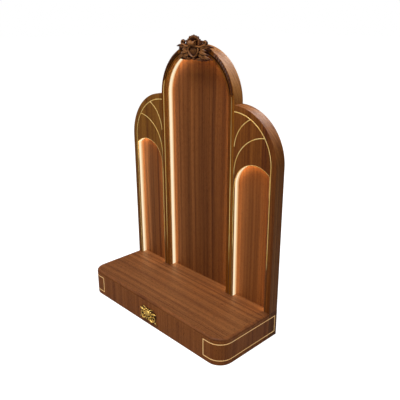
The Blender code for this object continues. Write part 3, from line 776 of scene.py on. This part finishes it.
def ball(centre, radii, fullness=1.0):
    # an oval boss: circles of radius sin(lift)^fullness at heights cos(lift)^fullness
    angle = roundTurn(36)[None, :]
    lift = np.linspace(0, math.pi, 21)[1:-1, None]
    size, level = np.sin(lift) ** fullness, np.sign(np.cos(lift)) * np.abs(np.cos(lift)) ** fullness
    x, y = radii[0] * size * np.cos(angle), radii[1] * size * np.sin(angle)
    return capped(np.stack([x, y, -radii[2] * level + 0 * angle], axis=2) + np.array(centre, float))


def ring(centre, radius, tube):
    # a round ring: a circle of the tube's radius carried round the centre
    a, b = roundTurn(64)[:, None], roundTurn(16)[None, :]
    reach = radius + tube * np.cos(b)
    grid = np.stack([reach * np.cos(a), reach * np.sin(a), tube * np.sin(b) + 0 * a], axis=2)
    return (grid + np.array(centre, float)).reshape(-1, 3), gridFaces(*grid.shape[:2], True, True)


def drum(centre, profile):
    # a body turned about the across axis: at each place along it a circle of the profile's radius
    place, radius = np.array(profile, float).T
    angle, radius = roundTurn(40)[None, :], radius[:, None]
    grid = np.stack([place[:, None] + 0 * angle, radius * np.cos(angle), radius * np.sin(angle)], axis=2)
    return capped(grid + np.array(centre, float))


def volute(centre, startRadius, endRadius, start, turns, out):
    # points that curl inwards round a centre, from an angle in degrees, while the radius shrinks evenly
    share = np.linspace(0, 1, 14)
    angle = math.radians(start) + 2 * math.pi * turns * share
    radius = startRadius + (endRadius - startRadius) * share
    return [(centre[0] + r * math.cos(a), centre[1] + r * math.sin(a), out) for a, r in zip(angle, radius)]


def bothSides(points, **sizes):
    # the same stem on the right and, mirrored, on the left
    return [stem(points, **sizes), stem([(-x, y, z) for x, y, z in points], **sizes)]


def carve(name, forms, work, node, material):
    # The forms, in (across, up, out) from the ornament's middle, are fused into one skin of voxels, smoothed,
    # and cut flat behind. The attribute relief runs from 0 to 1 between two heights over the ground. The
    # materials darken the low parts with painted shade, and the carved walnut lightens the high parts with a
    # painted highlight.
    points, faces, shift, ground = [], [], 0, work["place"][1]
    for formPoints, formFaces in forms:
        points.append(formPoints)
        faces += [[index + shift for index in face] for face in formFaces]
        shift += len(formPoints)
    points = np.concatenate(points)
    placed = np.column_stack([points[:, 0], -points[:, 2], points[:, 1]]) + work["place"]
    rough = newObject(name + "Rough", newMesh(name, placed, faces))
    fuse = rough.modifiers.new("fuse", "REMESH")
    fuse.mode, fuse.voxel_size = "VOXEL", work["voxel"] * mm
    soften = rough.modifiers.new("soften", "SMOOTH")
    soften.factor, soften.iterations = 0.5, 3

    def cutFlat(solid):
        cut = bmesh.ops.bisect_plane(solid, geom=solid.verts[:] + solid.edges[:] + solid.faces[:],
                                     plane_co=(0, ground * mm, 0), plane_no=(0, 1, 0), clear_outer=True)
        rim = [edge for edge in cut["geom_cut"] if isinstance(edge, bmesh.types.BMEdge)]
        bmesh.ops.holes_fill(solid, edges=rim, sides=0)

    mesh = rework(finishedMesh(rough), cutFlat)
    bpy.data.objects.remove(rough, do_unlink=True)
    finishPiece(newObject(name, mesh), node, [material], 60.0)
    low, high = work["relief"]
    out = ground - allOf(mesh.vertices, "co", 3)[:, 1] / mm
    setAttribute(mesh, "relief", np.clip((out - low) / (high - low), 0, 1), "POINT")


def crestForms():
    # a rolled scroll in the middle with a shell that rises behind it, a ribbed shield below it, and scrolls
    # and leaves to both sides
    forms = [ball((0, -12, 0), (54, 19, 2.6), 0.7), ball((0, 14, 0), (19, 17, 3.6), 0.6)]
    flutes = [(23, 24.2), (44, 27), (66, 28.5), (86, 27)]  # the shell's (lean, length)
    for lean, reach in [(0, 24.6), *[(-lean, reach) for lean, reach in flutes], *flutes]:
        a = math.radians(90 + lean)
        flute = [(reach * share * math.cos(a), 12 + reach * share * math.sin(a), out)
                 for share, out in ((1.0, 4.0), (0.8, 4.6), (0.55, 3.0), (0.3, 1.4))]
        forms.append(stem(flute, 4.3, 3.4, vein=0.4, taper=(0.45, 0.3)))
    end = [(11, 0.4), (11.2, 3.4), (10.5, 4), (10.5, 6), (11.4, 6.6), (11.4, 9.6), (8.6, 9.6), (6.6, 7.2),
           (2, 6.4)]
    forms.append(drum((0, 12, 8.8), [(-place, radius) for place, radius in end] + end[::-1]))
    rim = [(13, 5, 4), (18.5, 1, 5.5), (19.5, -7, 6), (14.5, -15.5, 6), (7, -21, 5.5), (0, -22.8, 5)]
    forms += bothSides(rim, halfWidth=2.0, rise=3.0, steps=60, taper=(1.0, 1.0))
    forms.append(ball((0, -6.5, 2), (17, 14.5, 5.4), 0.8))
    for place in (-10.5, -5.2, 0, 5.2, 10.5):
        rib = [(place, 3, 5), (place, -6, 6.6), (0.8 * place, -17 + 0.25 * abs(place), 5)]
        forms.append(stem(rib, 1.7, 2.2))
    scroll = [(7, 6.5, 6), (18, 5, 6.5), (28, 4.5, 6), (36, 7, 5)]
    scroll += volute((43, 15.4), 6.8, 3.2, -110, 1.1, 4)
    forms += bothSides(scroll, halfWidth=2.3, rise=3.6, steps=70, taper=(0.9, 0.8))
    leaves = [
        ([(28, 1, 3), (44, 4, 4.5), (59, 6, 4), (76, 3.5, 1)], 4.8, 3.6),
        ([(24, 2, 6), (33, 1.5, 7.5), (45, 4.5, 6)], 1.6, 2.2),
        ([(34, 0, 3), (48, 1, 4), (59, -1, 3.5), (67, -2.5, 1)], 3.6, 3.0),
        ([(20, -1, 4), (33, -3, 6), (44, -5, 5.5), (54, -8, 2.5)], 3.4, 3.4),
        ([(19, -8, 4), (31, -10.5, 7), (45, -13, 7), (64, -18.5, 2)], 3.6, 3.8),
        ([(15, -17, 4), (28, -19, 6), (41, -23, 5), (56, -27, 1.5)], 3.8, 3.4),
        ([(5, -26, 4), (20, -28.5, 5), (40, -29.5, 4), (62, -30, 1.5)], 3.2, 3.0),
        ([(30, -12, 4), (46, -20, 5.5), (58, -25, 5), (72, -28, 1.5)], 3.6, 3.4),
        ([(13, 10, 3), (22, 14, 4), (30, 18, 3.5), (37, 20, 2)], 5.0, 3.2),
        ([(10, 4, 3), (20, 8, 4), (28, 11, 3.5), (37, 12, 2)], 5.5, 2.8),
    ]
    for points, halfWidth, rise in leaves:
        forms += bothSides(points, halfWidth=halfWidth, rise=rise, vein=0.45)
    for place in (23, 30, 37, 44, 51):
        rib = [(place, -21, 4), (place + 2, -26, 5.5), (place + 3, -30.5, 3)]
        forms += bothSides(rib, halfWidth=1.9, rise=2.6)
    return forms + [ball((0, -27, 3.5), (6, 4, 4.2))]


def ornamentForms():
    # An oval boss in a wreath of beads on a thin plate, painted dark as the ornament's shadow on the wood. To
    # both sides a scroll runs out to a tip above a round loop with a tail, on a thin plate painted dark as
    # shade in the loop, and thin leaves stand at the top and hang at the foot.
    forms = [ball((0, 5, 0), (31, 19, 1.1)), ball((-1.5, 5, 1.5), (12.4, 9.2, 5.6), 0.8)]
    for turn in np.radians(np.arange(14) * 360 / 14 + 6):
        forms.append(ball((17 * math.cos(turn), 5.5 + 14 * math.sin(turn), 3), (2.4, 2.4, 2.5)))
    for side in (-1, 1):
        # a thin plate under the loop, which the gilding paints dark: painted shade in the loop's hole
        forms.append(ball((side * 28, 4, 0), (10.5, 15, 1.1)))
        forms.append(ring((side * 26, -4, 1.9), 6.7, 1.8))
        forms.append(ball((side * 29.5, 7.2, 2.6), (1.9, 1.9, 2)))
    leaves = [
        ([(17, 9, 2.2), (24, 12, 3.2), (32, 13.5, 3.4), (39, 12.5, 1.6)], 2.3, 2.5),
        ([(8, 18.5, 1.6), (15, 21.5, 1.8), (22, 23, 1.5), (30, 24, 0.8)], 1.7, 1.5),
        ([(9, -10, 2.5), (15, -14, 4), (22, -15, 4.4), (30, -12.5, 3)], 2.4, 2.8),
        ([(29, -13.5, 1.8), (35, -17, 1.8), (43, -21.5, 0.8)], 1.8, 1.5),
        ([(3, -9, 3), (6, -14, 3.6), (3, -19.5, 1.4)], 1.9, 2.4),
    ]
    for points, halfWidth, rise in leaves:
        forms += bothSides(points, halfWidth=halfWidth, rise=rise)
    return forms


garland = {"radius": 144.8, "start": 60.0, "leftEnd": 16.0, "rightEnd": 10.0, "husks": 13, "halfWidth": 4.0,
           "rise": 3.6, "shrink": 0.4}


def makeGarland(side, label):
    # A strip along the arch whose half width and rise follow the husks: each opens like a bell from a thin
    # neck, is ribbed across, and ends in a step at the next one's neck. All shrink towards the foot.
    husks, perHusk, across = garland["husks"], 14, 17
    place = np.linspace(0, husks, husks * perHusk + 1)
    part = place % 1.0
    part[-1] = 1.0
    share = place / husks
    angle = np.radians(garland["start"] + (garland[label + "End"] - garland["start"]) * share)
    size = 1.0 - garland["shrink"] * share
    step = 0.86  # from here each bell closes to the next one's neck
    flare = 0.42 + 0.58 * np.sin(0.5 * math.pi * part**0.7)
    flare = np.where(part > step, flare * (1 - 0.35 * (part - step) / (1 - step)), flare)
    lift = 0.45 + 0.55 * np.sin(0.5 * math.pi * part**0.8)
    u = np.linspace(-1, 1, across)
    dome = np.sqrt(np.maximum(1 - u**2, 0.0)) * (1 - 0.22 * np.abs(np.sin(1.5 * math.pi * u)))
    radius = garland["radius"] + u[None, :] * (garland["halfWidth"] * size * flare)[:, None]
    out = dome[None, :] * (garland["rise"] * size * lift)[:, None]
    x, z = side * radius * np.cos(angle)[:, None], bay["spring"] + radius * np.sin(angle)[:, None]
    ground = panel["front"] - 0.05
    upper = np.stack([x, ground - out, z], axis=2)
    lower = np.stack([x, np.full_like(x, ground), z], axis=2)[:, 1:-1][:, ::-1]
    body = capped(np.concatenate([upper, lower], axis=1))
    piece = makePiece(label + "Garland", *body, label + "_garland", "carved_wood", [carvedWood], sharp=50.0)
    # relief for the carved walnut: painted shade on the low parts, painted highlight on the high ones
    height = (ground - allOf(piece.data.vertices, "co", 3)[:, 1] / mm) / garland["rise"]
    setAttribute(piece.data, "relief", np.clip(height * 1.4 - 0.2, 0, 1), "POINT")


crest = {"place": (0, panel["front"] + 0.1, 796.8), "voxel": 0.6, "relief": (2.0, 8.0)}
ornament = {"place": (0, base["front"] + 0.2, 34.0), "voxel": 0.4, "relief": (1.5, 3.6)}
carve("crestCarving", crestForms(), crest, "crest", carvedWood)
carve("baseOrnament", ornamentForms(), ornament, "base_ornament", gilt)
makeGarland(-1, "left")
makeGarland(1, "right")
print("stage: carved work made")


# Room, lights and camera

room = {"reach": 20000.0, "drop": 0.2, "whiteSeen": 1.0, "whiteCast": 0.05}
lights = {  # azimuth, elevation, power and width of each soft box
    "frontTop": (0, 70, 59.0, 0.9),
    "front": (0, 40, 15.0, 0.9),
    "rightTop": (45, 70, 16.5, 0.9),
    "behind": (180, 40, 33.0, 1.2),
    "rightBehind": (135, 38, 10.0, 0.9),
    "right": (75, 20, 6.5, 1.2),
    "left": (-90, 30, 10.0, 1.2),
}
camera = {"place": (1.0753, -0.9324, 0.8855), "azimuth": 46.08, "elevation": 19.86, "roll": -0.185,
          "lens": 46.289}


def makeRoom():
    # a wide pale floor just under the altar, in a surround that is seen white but gives little light
    corners = np.array([(-1, -1, 0), (1, -1, 0), (1, 1, 0), (-1, 1, 0)]) * room["reach"]
    floor = newObject("floor", newMesh("floor", corners - (0, 0, room["drop"]), [[0, 1, 2, 3]]))
    look = {"Base Color": linear("#8a8a8a"), "Roughness": 0.9, "Specular IOR Level": 0.0,
            "Emission Color": linear("#ffffff")}
    material, tree, shader = newMaterial("matt white floor", look)
    setInputs(shader, {"Emission Strength": addNode(tree, "LightPath", output="Is Camera Ray")})
    floor.data.materials.append(material)
    world = bpy.data.worlds.new("white surround")
    bpy.context.scene.world = world
    world.use_nodes = True
    byCamera = addNode(world.node_tree, "LightPath", output="Is Camera Ray")
    white = {"Value": byCamera, "To Min": room["whiteCast"], "To Max": room["whiteSeen"]}
    strength = addNode(world.node_tree, "MapRange", white)
    setInputs(world.node_tree.nodes["Background"], {0: linear("#ffffff"), 1: strength})


def viewDirection(azimuth, elevation):
    # from the altar outwards; azimuth 0 is straight in front, 90 on its right
    a, e = math.radians(azimuth), math.radians(elevation)
    return Vector((math.sin(a) * math.cos(e), -math.cos(a) * math.cos(e), math.sin(e)))


def addLight(name, azimuth, elevation, power, size):
    # a round soft box 2.5 m from the altar's middle, which it faces
    data = bpy.data.lights.new(name, "AREA")
    data.shape, data.size, data.energy = "DISK", size, power
    lamp = newObject(name, data)
    away = viewDirection(azimuth, elevation)
    lamp.location = away * 2.5 + Vector((0, 0, 0.4))
    lamp.rotation_euler = away.to_track_quat("Z", "Y").to_euler()


def makeCamera():
    # looks against its direction, turned by the roll about it
    back, roll = viewDirection(camera["azimuth"], camera["elevation"]), math.radians(camera["roll"])
    right = Vector((0, 0, 1)).cross(back).normalized()
    up = back.cross(right)
    right, up = math.cos(roll) * right + math.sin(roll) * up, math.cos(roll) * up - math.sin(roll) * right
    data = bpy.data.cameras.new("camera")
    data.lens, data.sensor_width = camera["lens"], 36.0
    data.clip_start, data.clip_end = 0.05, 100.0
    viewer = newObject("camera", data)
    turned = Matrix((right, up, back)).transposed().to_4x4()
    turned.translation = camera["place"]
    viewer.matrix_world = turned
    bpy.context.scene.camera = viewer


makeRoom()
for name, values in lights.items():
    addLight(name, *values)
makeCamera()
bpy.context.scene.view_settings.view_transform = "Standard"
print("stage: room, lights and camera made")
